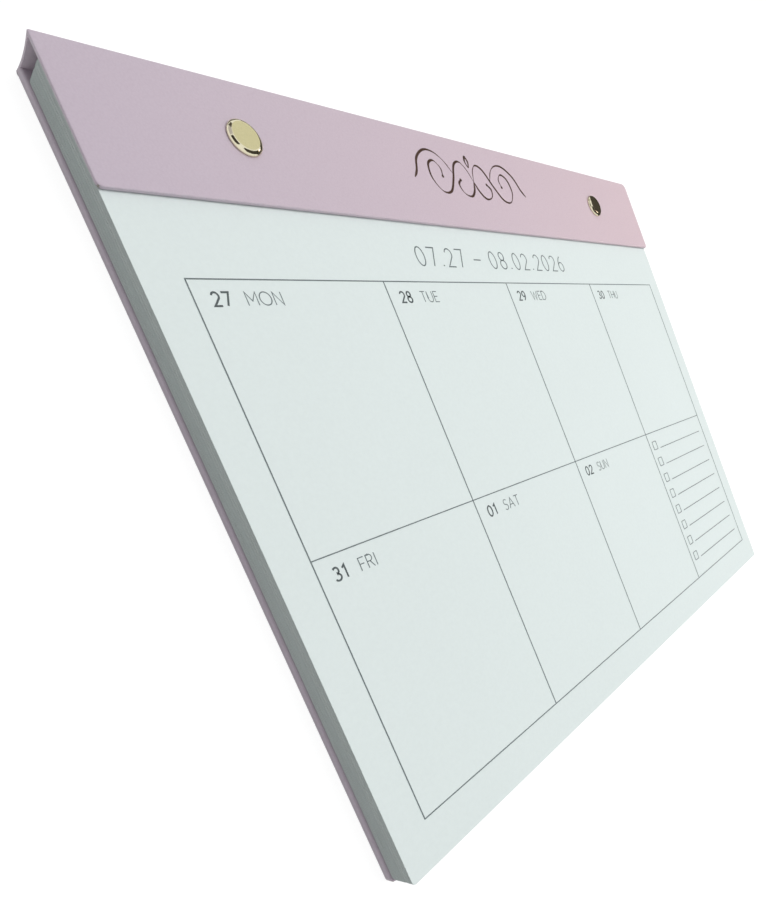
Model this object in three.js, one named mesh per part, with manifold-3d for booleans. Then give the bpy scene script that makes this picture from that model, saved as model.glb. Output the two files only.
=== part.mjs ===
// Desk pad calendar: a block of weekly sheets held in a wrapped hard case by two screw posts.
// Millimetres, +Z up. The pad lies on its back cover, X runs across it and +Y points to its headband.
// The origin is the centre of the back cover, on the surface that the pad lies on.
import * as THREE from "three";
import { mergeVertices } from "three/addons/utils/BufferGeometryUtils.js";
import Module from "manifold-3d";

const wasm = await Module();
wasm.setup();

// Sheets
const SHEET_WIDTH = 280;
const SHEET_HEIGHT = 210;
const SHEET_CORNER_RADIUS = 1.0;
const BLOCK_THICKNESS = 8.65;

// Case: greyboards, the skin that wraps them and the papers that line them
const SKIN_THICKNESS = 0.25;
const BACK_BOARD_THICKNESS = 2.5;
const HEADBAND_BOARD_THICKNESS = 0.8;
const HEADBAND_WIDTH = 36;
const COVER_OVERHANG = 0.5;
const COVER_CORNER_RADIUS = 1.5;
const BACK_EDGE_RADIUS = 0.6;
const HEADBAND_EDGE_RADIUS = 0.45;
const BACK_TURN_IN = 14;
const HEADBAND_TURN_IN = 9;
const LINING_THICKNESS = 0.15;
const LINING_MARGIN = 3;
const PAPER_CLEARANCE = 0.3;

// Spine: the doubled skin that bends in between the two boards
const SPINE_DEPTH = 4;
const SPINE_WALL = 0.6;
const SPINE_SAG = 1.8;
const SPINE_END_INSET = 0.3;

// Screw posts
const POST_INSET_X = 45;
const CAP_DIAMETER = 10;
const CAP_FLAT_DIAMETER = 7.6;
const CAP_HEIGHT = 1.3;
const CAP_RIM_HEIGHT = 0.35;
const BARREL_DIAMETER = 5;
const BARREL_BORE_DIAMETER = 3.8;
const BARREL_CROWN = 1.5;
const SCREW_HEAD_DIAMETER = 9;
const SCREW_HEAD_THICKNESS = 0.8;
const SCREW_HEAD_RECESS = 0.2;
const SCREW_HEAD_BEVEL = 0.2;
const SCREW_SHANK_DIAMETER = 3.2;
const SCREW_SHANK_LENGTH = 8;
const SCREW_SLOT_WIDTH = 1.2;
const SCREW_SLOT_DEPTH = 0.4;
const POST_CLEARANCE = 0.3;

// Print: a week of seven days and a list of things to do
const COLUMNS = 4;
const ROWS = 2;
const GRID_MARGIN_LEFT = 11;
const GRID_MARGIN_RIGHT = 9.6;
const GRID_MARGIN_BOTTOM = 12;
const GRID_ROW_HEIGHT = 73;
const LINE_WIDTH = 0.3;
const INK_THICKNESS = 0.1;
const TODO_COUNT = 8;
const TODO_BOX_SIZE = 4.2;
const TODO_BOX_RADIUS = 0.5;
const TODO_BOX_INSET = 3.2;
const TODO_FIRST_DROP = 4.2;
const TODO_PITCH = 8.1;
const TODO_RULE_GAP = 2.7;
const TODO_RULE_INSET = 5;

// Smoothness of the round forms
const ROUND_SEGMENTS = 48;
const CORNER_SEGMENTS = 5;
const EDGE_SEGMENTS = 3;
const SPINE_SEGMENTS = 14;
const SHOULDER_SEGMENTS = 6;

// Overall sizes of the case and the levels of its layers
const COVER_WIDTH = SHEET_WIDTH + 2 * COVER_OVERHANG;
const COVER_HEIGHT = SHEET_HEIGHT + COVER_OVERHANG + SPINE_DEPTH;
const COVER_TOP = COVER_HEIGHT / 2;
const COVER_BOTTOM = -COVER_HEIGHT / 2;
const BACK_THICKNESS = BACK_BOARD_THICKNESS + 2 * SKIN_THICKNESS;
const HEADBAND_THICKNESS = HEADBAND_BOARD_THICKNESS + 2 * SKIN_THICKNESS;
const BLOCK_BASE = BACK_THICKNESS + LINING_THICKNESS;
const PAGE_LEVEL = BLOCK_BASE + BLOCK_THICKNESS;
const HEADBAND_BASE = PAGE_LEVEL + LINING_THICKNESS;
const HEADBAND_TOP = HEADBAND_BASE + HEADBAND_THICKNESS;
const HEADBAND_FOOT = COVER_TOP - HEADBAND_WIDTH;
const SHEET_LEFT = -SHEET_WIDTH / 2;
const SHEET_RIGHT = SHEET_WIDTH / 2;
const SHEET_BOTTOM = COVER_BOTTOM + COVER_OVERHANG;
const SHEET_TOP = SHEET_BOTTOM + SHEET_HEIGHT;
const POST_X = COVER_WIDTH / 2 - POST_INSET_X;
const POST_Y = COVER_TOP - HEADBAND_WIDTH / 2;
const HOLE_DIAMETER = BARREL_DIAMETER + 2 * POST_CLEARANCE;
const COUNTERBORE_DIAMETER = SCREW_HEAD_DIAMETER + 2 * POST_CLEARANCE;
const COUNTERBORE_DEPTH = SCREW_HEAD_THICKNESS + SCREW_HEAD_RECESS;

// Materials
const leatherette = new THREE.MeshStandardMaterial({ color: 0xcdbacb, roughness: 0.55, metalness: 0 });
const greyboard = new THREE.MeshStandardMaterial({ color: 0x9a948c, roughness: 0.9, metalness: 0 });
const liningPaper = new THREE.MeshStandardMaterial({ color: 0xe6e2dc, roughness: 0.85, metalness: 0 });
const paper = new THREE.MeshStandardMaterial({ color: 0xe4e9e8, roughness: 0.8, metalness: 0 });
const brass = new THREE.MeshStandardMaterial({ color: 0xc9bd8a, roughness: 0.25, metalness: 1 });
const ink = new THREE.MeshStandardMaterial({ color: 0x6c7678, roughness: 0.8, metalness: 0 });

// A closed geometry as a solid that can be joined and cut
function solid(geometry) {
  const bare = geometry.clone();
  bare.deleteAttribute("normal");
  bare.deleteAttribute("uv");
  const merged = mergeVertices(bare, 1e-5);
  const vertProperties = new Float32Array(merged.attributes.position.array);
  const triVerts = new Uint32Array(merged.index.array);
  return new wasm.Manifold(new wasm.Mesh({ numProp: 3, vertProperties, triVerts }));
}

// A solid back as a geometry
function geometryOf(manifold) {
  const result = manifold.getMesh();
  const geometry = new THREE.BufferGeometry();
  geometry.setAttribute("position", new THREE.BufferAttribute(new Float32Array(result.vertProperties), 3));
  geometry.setIndex(new THREE.BufferAttribute(new Uint32Array(result.triVerts), 1));
  geometry.computeVertexNormals();
  return geometry;
}

// A box between two corners
function block(low, high) {
  const [width, depth, height] = high.map((value, axis) => value - low[axis]);
  const geometry = new THREE.BoxGeometry(width, depth, height);
  return geometry.translate(low[0] + width / 2, low[1] + depth / 2, low[2] + height / 2);
}

// A rectangle with rounded corners, as the outline of a shape or a hole
function roundedRectangle(outline, left, bottom, right, top, radius) {
  outline.moveTo(left + radius, bottom);
  outline.lineTo(right - radius, bottom);
  outline.absarc(right - radius, bottom + radius, radius, -Math.PI / 2, 0, false);
  outline.lineTo(right, top - radius);
  outline.absarc(right - radius, top - radius, radius, 0, Math.PI / 2, false);
  outline.lineTo(left + radius, top);
  outline.absarc(left + radius, top - radius, radius, Math.PI / 2, Math.PI, false);
  outline.lineTo(left, bottom + radius);
  outline.absarc(left + radius, bottom + radius, radius, Math.PI, 1.5 * Math.PI, false);
  return outline;
}

// A plate with rounded corners in plan and square edges
function plate(left, bottom, right, top, radius, base, thickness) {
  const shape = roundedRectangle(new THREE.Shape(), left, bottom, right, top, radius);
  const options = { depth: thickness, bevelEnabled: false, curveSegments: CORNER_SEGMENTS };
  return new THREE.ExtrudeGeometry(shape, options).translate(0, 0, base);
}

// A plate whose edges are rounded too, as a wrapped board's are
function softPlate(left, bottom, right, top, radius, base, thickness, edge) {
  const shape = roundedRectangle(
    new THREE.Shape(), left + edge, bottom + edge, right - edge, top - edge, radius - edge);
  const options = {
    depth: thickness - 2 * edge,
    bevelThickness: edge,
    bevelSize: edge,
    bevelSegments: EDGE_SEGMENTS,
    curveSegments: CORNER_SEGMENTS,
  };
  return new THREE.ExtrudeGeometry(shape, options).translate(0, 0, base + edge);
}

// A round bar that stands along Z
function bar(x, y, base, top, diameter) {
  const geometry = new THREE.CylinderGeometry(diameter / 2, diameter / 2, top - base, ROUND_SEGMENTS);
  return geometry.rotateX(Math.PI / 2).translate(x, y, (base + top) / 2);
}

// A profile of radius and height points turned about Z
function turned(points) {
  const profile = points.map(([radius, height]) => new THREE.Vector2(radius, height));
  return new THREE.LatheGeometry(profile, ROUND_SEGMENTS).rotateX(Math.PI / 2);
}

// The same cut made at both posts
function cutAtPosts(body, base, top, diameter) {
  return [-POST_X, POST_X].reduce(
    (rest, x) => rest.subtract(solid(bar(x, POST_Y, base, top, diameter))), body);
}

// Greyboards, each the size of its cover less the skin
function boardOutline(bottom, base, thickness) {
  const side = COVER_WIDTH / 2 - SKIN_THICKNESS;
  const radius = COVER_CORNER_RADIUS - SKIN_THICKNESS;
  return plate(
    -side, bottom + SKIN_THICKNESS, side, COVER_TOP - SKIN_THICKNESS, radius, base + SKIN_THICKNESS, thickness);
}

const backBoardOutline = solid(boardOutline(COVER_BOTTOM, 0, BACK_BOARD_THICKNESS));
const headbandBoardOutline = solid(boardOutline(HEADBAND_FOOT, HEADBAND_BASE, HEADBAND_BOARD_THICKNESS));

function backBoard() {
  const bored = cutAtPosts(backBoardOutline, 0, BACK_THICKNESS, HOLE_DIAMETER);
  return cutAtPosts(bored, 0, COUNTERBORE_DEPTH, COUNTERBORE_DIAMETER);
}

function headbandBoard() {
  return cutAtPosts(headbandBoardOutline, HEADBAND_BASE, HEADBAND_TOP, HOLE_DIAMETER);
}

// The spine's section across the pad: straight along both boards' edges and bent in between them
function spineSection() {
  const lowerEdge = BACK_THICKNESS - SKIN_THICKNESS;
  const upperEdge = HEADBAND_BASE + SKIN_THICKNESS;
  const halfSpan = (upperEdge - lowerEdge) / 2;
  const radius = (halfSpan ** 2 + SPINE_SAG ** 2) / (2 * SPINE_SAG);
  const middle = (upperEdge + lowerEdge) / 2;
  const halfAngle = Math.asin(halfSpan / radius);
  const centre = COVER_TOP - SPINE_SAG + radius;
  const bend = [];
  for (let step = 0; step <= SPINE_SEGMENTS; step += 1) {
    const angle = halfAngle * (1 - (2 * step) / SPINE_SEGMENTS);
    bend.push([centre - radius * Math.cos(angle), middle - radius * Math.sin(angle)]);
  }
  const outer = [[COVER_TOP, BACK_EDGE_RADIUS], ...bend, [COVER_TOP, HEADBAND_TOP - HEADBAND_EDGE_RADIUS]];
  const inner = outer.map(([y, z]) => [y - SPINE_WALL, z]).reverse();
  return [...outer, ...inner].map(([y, z]) => new THREE.Vector2(y, z));
}

// The section is drawn in Y and Z, so the extrusion is turned to run along X
function spine() {
  const length = COVER_WIDTH - 2 * SPINE_END_INSET;
  const geometry = new THREE.ExtrudeGeometry(
    new THREE.Shape(spineSection()), { depth: length, bevelEnabled: false });
  const acrossThePad = new THREE.Matrix4().makeBasis(
    new THREE.Vector3(0, 1, 0), new THREE.Vector3(0, 0, 1), new THREE.Vector3(1, 0, 0));
  return geometry.applyMatrix4(acrossThePad).translate(-length / 2, 0, 0);
}

// The window that the turned-in skin leaves open on a board's inner face
function turnInWindow(bottom, turnIn, faceLow, faceHigh) {
  const side = COVER_WIDTH / 2 - turnIn;
  return block([-side, bottom + turnIn, faceLow], [side, COVER_TOP - turnIn, faceHigh]);
}

// One piece of leatherette: round the back board, up the spine and round the headband board
function coverWrap() {
  const side = COVER_WIDTH / 2;
  const backForm = softPlate(
    -side, COVER_BOTTOM, side, COVER_TOP, COVER_CORNER_RADIUS, 0, BACK_THICKNESS, BACK_EDGE_RADIUS);
  const headbandForm = softPlate(
    -side, HEADBAND_FOOT, side, COVER_TOP, COVER_CORNER_RADIUS, HEADBAND_BASE, HEADBAND_THICKNESS,
    HEADBAND_EDGE_RADIUS);
  const folded = solid(backForm)
    .add(solid(headbandForm))
    .add(solid(spine()))
    .subtract(backBoardOutline)
    .subtract(headbandBoardOutline)
    .subtract(solid(turnInWindow(
      COVER_BOTTOM, BACK_TURN_IN, BACK_THICKNESS - 2 * SKIN_THICKNESS, BACK_THICKNESS + SKIN_THICKNESS)))
    .subtract(solid(turnInWindow(
      HEADBAND_FOOT, HEADBAND_TURN_IN, HEADBAND_BASE - SKIN_THICKNESS, HEADBAND_BASE + 2 * SKIN_THICKNESS)));
  const frontHoles = cutAtPosts(folded, HEADBAND_BASE, HEADBAND_TOP + SKIN_THICKNESS, HOLE_DIAMETER);
  return cutAtPosts(frontHoles, -SKIN_THICKNESS, COUNTERBORE_DEPTH, COUNTERBORE_DIAMETER);
}

// A lining paper: a sheet that is stuck over the turn-ins and dips onto the bare board inside them.
// up is 1 where the board's inner face looks up, as on the back, and -1 under the headband.
function lining(bottom, turnIn, faceLevel, up) {
  const slab = (inset, from, to) => {
    const side = COVER_WIDTH / 2 - inset;
    const [low, high] = [faceLevel + up * from, faceLevel + up * to].sort((a, b) => a - b);
    return solid(block([-side, bottom + inset, low], [side, COVER_TOP - inset, high]));
  };
  const well = turnIn + PAPER_CLEARANCE;
  const sheet = slab(LINING_MARGIN, 0, LINING_THICKNESS)
    .add(slab(well, -SKIN_THICKNESS, LINING_THICKNESS))
    .subtract(slab(well + LINING_THICKNESS, LINING_THICKNESS - SKIN_THICKNESS, 2 * LINING_THICKNESS));
  const reach = SKIN_THICKNESS + LINING_THICKNESS;
  return cutAtPosts(sheet, faceLevel - reach, faceLevel + reach, HOLE_DIAMETER);
}

// The sheets, trimmed together and punched for the posts
function pageBlock() {
  const sheets = solid(plate(
    SHEET_LEFT, SHEET_BOTTOM, SHEET_RIGHT, SHEET_TOP, SHEET_CORNER_RADIUS, BLOCK_BASE, BLOCK_THICKNESS));
  return cutAtPosts(sheets, 0, HEADBAND_TOP, HOLE_DIAMETER);
}

// The post: a flat-topped cap with a rounded shoulder, on a hollow barrel that ends on the screw's head
function postGeometry() {
  const capRadius = CAP_DIAMETER / 2;
  const flatRadius = CAP_FLAT_DIAMETER / 2;
  const shoulder = [];
  for (let step = 0; step <= SHOULDER_SEGMENTS; step += 1) {
    const angle = (Math.PI / 2) * (step / SHOULDER_SEGMENTS);
    shoulder.push([
      flatRadius + (capRadius - flatRadius) * Math.sin(angle),
      CAP_RIM_HEIGHT + (CAP_HEIGHT - CAP_RIM_HEIGHT) * Math.cos(angle),
    ]);
  }
  const barrelEnd = COUNTERBORE_DEPTH - HEADBAND_TOP;
  const barrelRadius = BARREL_DIAMETER / 2;
  const boreRadius = BARREL_BORE_DIAMETER / 2;
  return turned([
    [0, -BARREL_CROWN],
    [boreRadius, -BARREL_CROWN],
    [boreRadius, barrelEnd],
    [barrelRadius, barrelEnd],
    [barrelRadius, 0],
    [capRadius, 0],
    ...shoulder.reverse(),
    [0, CAP_HEIGHT],
  ]);
}

// The screw: a slotted head let into the back board and a shank up inside the barrel
function screwSolid() {
  const headRadius = SCREW_HEAD_DIAMETER / 2;
  const shankRadius = SCREW_SHANK_DIAMETER / 2;
  const body = solid(turned([
    [0, 0],
    [headRadius - SCREW_HEAD_BEVEL, 0],
    [headRadius, SCREW_HEAD_BEVEL],
    [headRadius, SCREW_HEAD_THICKNESS],
    [shankRadius, SCREW_HEAD_THICKNESS],
    [shankRadius, SCREW_HEAD_THICKNESS + SCREW_SHANK_LENGTH],
    [0, SCREW_HEAD_THICKNESS + SCREW_SHANK_LENGTH],
  ]));
  const slot = block(
    [-SCREW_HEAD_DIAMETER, -SCREW_SLOT_WIDTH / 2, -SCREW_SLOT_DEPTH],
    [SCREW_HEAD_DIAMETER, SCREW_SLOT_WIDTH / 2, SCREW_SLOT_DEPTH]);
  return body.subtract(solid(slot));
}

// Where the printed grid lies on the top sheet
const GRID_LEFT = SHEET_LEFT + GRID_MARGIN_LEFT;
const GRID_RIGHT = SHEET_RIGHT - GRID_MARGIN_RIGHT;
const GRID_BOTTOM = SHEET_BOTTOM + GRID_MARGIN_BOTTOM;
const GRID_COLUMN_WIDTH = (GRID_RIGHT - GRID_LEFT) / COLUMNS;
const GRID_TOP = GRID_BOTTOM + ROWS * GRID_ROW_HEIGHT;

function inkExtrusion(shape) {
  const options = { depth: INK_THICKNESS, bevelEnabled: false, curveSegments: CORNER_SEGMENTS };
  return new THREE.ExtrudeGeometry(shape, options).translate(0, 0, PAGE_LEVEL);
}

// The week's frame: one lattice of lines with an open field for each cell
function weekGrid() {
  const half = LINE_WIDTH / 2;
  const inkTop = PAGE_LEVEL + INK_THICKNESS;
  let lattice = solid(block(
    [GRID_LEFT - half, GRID_BOTTOM - half, PAGE_LEVEL], [GRID_RIGHT + half, GRID_TOP + half, inkTop]));
  for (let column = 0; column < COLUMNS; column += 1) {
    for (let row = 0; row < ROWS; row += 1) {
      const left = GRID_LEFT + column * GRID_COLUMN_WIDTH + half;
      const bottom = GRID_BOTTOM + row * GRID_ROW_HEIGHT + half;
      const right = left + GRID_COLUMN_WIDTH - LINE_WIDTH;
      const top = bottom + GRID_ROW_HEIGHT - LINE_WIDTH;
      const field = block([left, bottom, PAGE_LEVEL - INK_THICKNESS], [right, top, inkTop + INK_THICKNESS]);
      lattice = lattice.subtract(solid(field));
    }
  }
  return lattice;
}

const TODO_LEFT = GRID_RIGHT - GRID_COLUMN_WIDTH + TODO_BOX_INSET;
const TODO_TOP = GRID_BOTTOM + GRID_ROW_HEIGHT - TODO_FIRST_DROP;

function todoBox(index) {
  const top = TODO_TOP - index * TODO_PITCH;
  const bottom = top - TODO_BOX_SIZE;
  const right = TODO_LEFT + TODO_BOX_SIZE;
  const square = roundedRectangle(new THREE.Shape(), TODO_LEFT, bottom, right, top, TODO_BOX_RADIUS);
  square.holes.push(roundedRectangle(
    new THREE.Path(), TODO_LEFT + LINE_WIDTH, bottom + LINE_WIDTH, right - LINE_WIDTH, top - LINE_WIDTH,
    TODO_BOX_RADIUS - LINE_WIDTH));
  return inkExtrusion(square);
}

function todoRule(index) {
  const bottom = TODO_TOP - index * TODO_PITCH - TODO_BOX_SIZE;
  const left = TODO_LEFT + TODO_BOX_SIZE + TODO_RULE_GAP;
  return block(
    [left, bottom, PAGE_LEVEL],
    [GRID_RIGHT - TODO_RULE_INSET, bottom + LINE_WIDTH, PAGE_LEVEL + INK_THICKNESS]);
}

// The pad, put together
const pad = new THREE.Group();

function place(name, geometry, material, x = 0, y = 0, z = 0) {
  const mesh = new THREE.Mesh(geometry, material);
  mesh.name = name;
  mesh.position.set(x, y, z);
  pad.add(mesh);
}

place("cover_wrap", geometryOf(coverWrap()), leatherette);
place("back_board", geometryOf(backBoard()), greyboard);
place("headband_board", geometryOf(headbandBoard()), greyboard);
place("back_lining", geometryOf(lining(COVER_BOTTOM, BACK_TURN_IN, BACK_THICKNESS, 1)), liningPaper);
place(
  "headband_lining", geometryOf(lining(HEADBAND_FOOT, HEADBAND_TURN_IN, HEADBAND_BASE, -1)), liningPaper);
place("page_block", geometryOf(pageBlock()), paper);

for (const [side, x] of [["left", -POST_X], ["right", POST_X]]) {
  place(`post_${side}`, postGeometry(), brass, x, POST_Y, HEADBAND_TOP);
  place(`screw_${side}`, geometryOf(screwSolid()), brass, x, POST_Y, SCREW_HEAD_RECESS);
}

place("week_grid", geometryOf(weekGrid()), ink);
for (let index = 0; index < TODO_COUNT; index += 1) {
  place(`todo_box_${index + 1}`, todoBox(index), ink);
  place(`todo_rule_${index + 1}`, todoRule(index), ink);
}

export default pad;
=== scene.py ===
"""Desk pad calendar: the looks of the pad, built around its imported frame.

The pad lies on its back cover. X runs across it, +Y points to its headband and +Z out of the pages.
Lengths are metres, as the frame's are.
"""

import math

import bmesh
import bpy
from bpy.props import FloatProperty, FloatVectorProperty, IntProperty, PointerProperty
from mathutils import Matrix, Vector


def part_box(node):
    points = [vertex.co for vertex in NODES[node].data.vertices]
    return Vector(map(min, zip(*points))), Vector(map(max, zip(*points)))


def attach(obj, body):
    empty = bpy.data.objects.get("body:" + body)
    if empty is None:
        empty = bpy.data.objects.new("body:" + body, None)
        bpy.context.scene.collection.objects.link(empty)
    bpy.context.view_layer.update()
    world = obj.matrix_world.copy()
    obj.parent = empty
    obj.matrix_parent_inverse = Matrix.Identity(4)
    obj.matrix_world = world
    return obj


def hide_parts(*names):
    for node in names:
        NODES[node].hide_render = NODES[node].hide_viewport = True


bl_info = {
    "name": "Desk Pad Calendar",
    "version": (1, 0, 0),
    "blender": (4, 5, 0),
    "location": "3D View > Sidebar > Desk Pad",
    "description": "Builds a weekly desk pad in a wrapped hard case, with its print, posts and stage",
    "category": "Object",
}

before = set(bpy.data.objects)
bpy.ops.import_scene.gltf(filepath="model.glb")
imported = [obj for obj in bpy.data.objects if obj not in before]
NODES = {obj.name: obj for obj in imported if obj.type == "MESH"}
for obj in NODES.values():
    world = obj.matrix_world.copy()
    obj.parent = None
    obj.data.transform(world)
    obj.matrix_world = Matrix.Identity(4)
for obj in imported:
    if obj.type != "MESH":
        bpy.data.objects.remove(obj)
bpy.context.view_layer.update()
BODY = "root"
MM = 0.001
SIDES = ("left", "right")


def box(name):
    """The low and high corners of a piece of the frame."""
    return [Vector(corner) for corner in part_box(name)]


# Places that the frame gives
CASE_LOW, CASE_HIGH = box("cover_wrap")
BLOCK_LOW, BLOCK_HIGH = box("page_block")
BACK_BOARD_LOW, BACK_BOARD_HIGH = box("back_board")
BAND_BOARD_LOW, BAND_BOARD_HIGH = box("headband_board")
GRID_LOW, GRID_HIGH = box("week_grid")
POST_BOXES = {side: box(f"post_{side}") for side in SIDES}
SCREW_BOXES = {side: box(f"screw_{side}") for side in SIDES}
PRINT_NODES = sorted(name for name in NODES if name == "week_grid" or name.startswith("todo_"))

SKIN_THICKNESS = BACK_BOARD_LOW.z - CASE_LOW.z
BACK_TOP = BACK_BOARD_HIGH.z + SKIN_THICKNESS
BAND_BASE = BAND_BOARD_LOW.z - SKIN_THICKNESS
BAND_FOOT = BAND_BOARD_LOW.y - SKIN_THICKNESS
BAND_TOP = BAND_BOARD_HIGH.z + SKIN_THICKNESS
PAGE_LEVEL = BLOCK_HIGH.z

# Smoothness of the wrapped boards, and the tight corner that they have at the spine's open end
EDGE_STEPS = 6
CORNER_STEPS = 8
SPINE_CORNER = 0.45 * MM
LEAST_SPINE_CORNER = 0.04 * MM
LEAST_CORNER = 0.05 * MM

# The print's layout, as on the top sheet
COLUMNS = 4
ROWS = 2
COLUMN_WIDTH = (GRID_HIGH.x - GRID_LOW.x) / COLUMNS
ROW_HEIGHT = (GRID_HIGH.y - GRID_LOW.y) / ROWS
DAYS = ("MON", "TUE", "WED", "THU", "FRI", "SAT", "SUN")
DATES = ("27", "28", "29", "30", "31", "01", "02")
HEADER = "07.27 – 08.02.2026"


# Properties that a user would change

def length_property(label, description, millimetres):
    """A length that a user can change, given in millimetres."""
    return FloatProperty(
        name=label, description=description, subtype="DISTANCE", unit="LENGTH", default=millimetres * MM)


def colour_property(label, description, default):
    """A colour that a user can change."""
    return FloatVectorProperty(
        name=label, description=description, subtype="COLOR", size=3, min=0, max=1, default=default)


def number_property(label, description, default, unit="NONE"):
    """A number that a user can change."""
    return FloatProperty(name=label, description=description, unit=unit, default=default)


class PadCaseProperties(bpy.types.PropertyGroup):
    skin_colour: colour_property(
        "Skin Colour", "Tint of the leatherette at the case's left end", (0.546, 0.466, 0.537))
    # Painted light: the leatherette turns lighter and pinker towards the right end, as if brighter, warmer
    # light fell there.
    painted_light_end_colour: colour_property(
        "Far Colour", "Tint that the leatherette drifts to at the case's right end", (0.71, 0.56, 0.605))
    grain_size: length_property("Grain Size", "Width of one pebble of the leatherette's grain", 0.55)
    edge_radius: length_property("Edge Radius", "Roundness of the wrapped boards' edges", 0.6)
    corner_radius: length_property("Corner Radius", "Roundness in plan of the case's front corners", 1.5)
    far_radius: length_property("Far Radius", "Roundness in plan of the case's back right corner", 2.8)
    spine_lean: length_property(
        "Spine Lean", "How far the headband's back edge lies in front of the cover's", 1.8)
    spine_sag: length_property("Spine Sag", "How far the spine bends in", 0.7)
    spine_wall: length_property("Spine Wall", "Thickness of the stiffened skin of the spine", 0.6)
    back_setback: length_property(
        "Back Setback", "How far the cover's board ends inside the spine's skin", 0.75)


class PadSheetProperties(bpy.types.PropertyGroup):
    sheet_count: IntProperty(
        name="Sheets", description="Number of sheets in the block", default=64, min=2, max=120)
    stray: length_property("Stray", "How far a sheet may lie out of line", 0.07)
    corner_radius: length_property("Corner Radius", "Roundness of the sheets' corners", 1)
    setback: length_property(
        "Setback", "How much further from the spine the top sheet ends than the bottom one", 1.8)
    face_colour: colour_property("Face Colour", "Colour of the top sheet", (0.716, 0.78, 0.767))
    # Painted shade: the edges' colour is darker and greyer than the face, for the shade on the block's
    # sides and between its sheets.
    painted_shade_edge_colour: colour_property("Edge Colour", "Colour of the trimmed edges", (0.62, 0.66, 0.645))


class PadPrintProperties(bpy.types.PropertyGroup):
    ink_colour: colour_property("Ink Colour", "Colour of the thin print", (0.14, 0.17, 0.175))
    number_height: length_property("Number Height", "Height of the day numbers", 3.5)
    name_height: length_property("Name Height", "Height of the day names", 3.55)
    header_height: length_property("Header Height", "Height of the header's digits", 6.5)


class PadOrnamentProperties(bpy.types.PropertyGroup):
    foil_colour: colour_property("Foil Colour", "Colour of the stamped foil", (0.13, 0.075, 0.055))
    width: length_property("Width", "Width of the ornament", 67)
    stroke: length_property("Stroke", "Width of the ornament's broadest stroke", 0.95)


class PadPostProperties(bpy.types.PropertyGroup):
    metal_colour: colour_property("Metal Colour", "Colour of the posts' plating", (0.77, 0.72, 0.53))
    segments: IntProperty(
        name="Segments", description="Steps round a post", default=96, min=24, max=128)


class PadStageProperties(bpy.types.PropertyGroup):
    floor_colour: colour_property("Floor Colour", "Colour of the floor", (0.62, 0.62, 0.62))
    floor_lift: number_property(
        "Floor Lift", "How far the floor is lifted towards white for the camera", 0.9)
    seen_shade: number_property(
        "Seen Shade", "How much light and shadow the camera sees on the floor", 0.18)
    key_power: number_property("Key Power", "Power of the large soft lamp above the pad", 6.3, "POWER")
    warm_power: number_property(
        "Warm Power", "Power of the small warm lamp at the pad's right", 0.5, "POWER")
    room_light: number_property("Room Light", "Strength of the light that comes from all round", 0.5)


# Small tools for meshes

def new_object(name, data):
    """A new object of this mesh, lamp or camera, linked to the scene, at the origin."""
    piece = bpy.data.objects.new(name, data)
    bpy.context.scene.collection.objects.link(piece)
    return piece


def object_as_is(name, work):
    """Turns a bmesh into an object, and frees the bmesh."""
    mesh = bpy.data.meshes.new(name)
    work.to_mesh(mesh)
    work.free()
    return new_object(name, mesh)


def object_from(name, work):
    """Turns a bmesh into an object whose faces are joined and look outward."""
    bmesh.ops.remove_doubles(work, verts=work.verts, dist=1e-7)
    bmesh.ops.recalc_face_normals(work, faces=work.faces)
    return object_as_is(name, work)


def settle(piece):
    """Applies what is live on a piece and leaves it a plain mesh."""
    graph = bpy.context.evaluated_depsgraph_get()
    final = bpy.data.meshes.new_from_object(piece.evaluated_get(graph))
    piece.modifiers.clear()
    piece.data = final
    return piece


def smooth_by_angle(piece, degrees):
    """Smooth shading, broken where faces meet more sharply than this."""
    piece.data.shade_smooth()
    piece.data.set_sharp_from_angle(angle=math.radians(degrees))


def combine(piece, other, operation):
    """Joins or cuts a piece with another one, which is used up."""
    modifier = piece.modifiers.new(operation.title(), "BOOLEAN")
    modifier.operation = operation
    modifier.solver = "EXACT"
    modifier.object = other
    settle(piece)
    bpy.data.objects.remove(other)


def set_material(piece, material):
    """Gives a piece one material, in place of what it had."""
    piece.data.materials.clear()
    piece.data.materials.append(material)


def finish_piece(piece, material, slot, *replaced):
    """Gives a piece its material and its body, and hides the nodes that it stands for. Its slot is not
    used.
    """
    if material is not None:
        set_material(piece, material)
    if replaced:
        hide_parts(*replaced)
    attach(piece, BODY)


def rounded_outline(low, high, near, right, left):
    """Points round a rectangle, with one radius at its low-Y corners and one at each other."""
    points = []
    corners = (
        (high.x - near, low.y + near, near, -90), (high.x - right, high.y - right, right, 0),
        (low.x + left, high.y - left, left, 90), (low.x + near, low.y + near, near, 180),
    )
    for x, y, radius, start in corners:
        for step in range(CORNER_STEPS + 1):
            angle = math.radians(start + 90 * step / CORNER_STEPS)
            points.append((x + radius * math.cos(angle), y + radius * math.sin(angle)))
    return points


def loft(work, rings):
    """Skins closed rings of points one after another and caps both ends."""
    rows = [[work.verts.new(point) for point in ring] for ring in rings]
    count = len(rows[0])
    for lower, upper in zip(rows, rows[1:]):
        for index in range(count):
            after = (index + 1) % count
            work.faces.new((lower[index], lower[after], upper[after], upper[index]))
    work.faces.new(list(reversed(rows[0])))
    work.faces.new(rows[-1])


def edge_insets(radius, support):
    """How far each ring of a round edge lies in from the side, and how far from the face."""
    insets = [(radius + support, 0)]
    for step in range(EDGE_STEPS + 1):
        angle = math.radians(90 * step / EDGE_STEPS)
        insets.append((radius * (1 - math.sin(angle)), radius * (1 - math.cos(angle))))
    return insets


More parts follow.
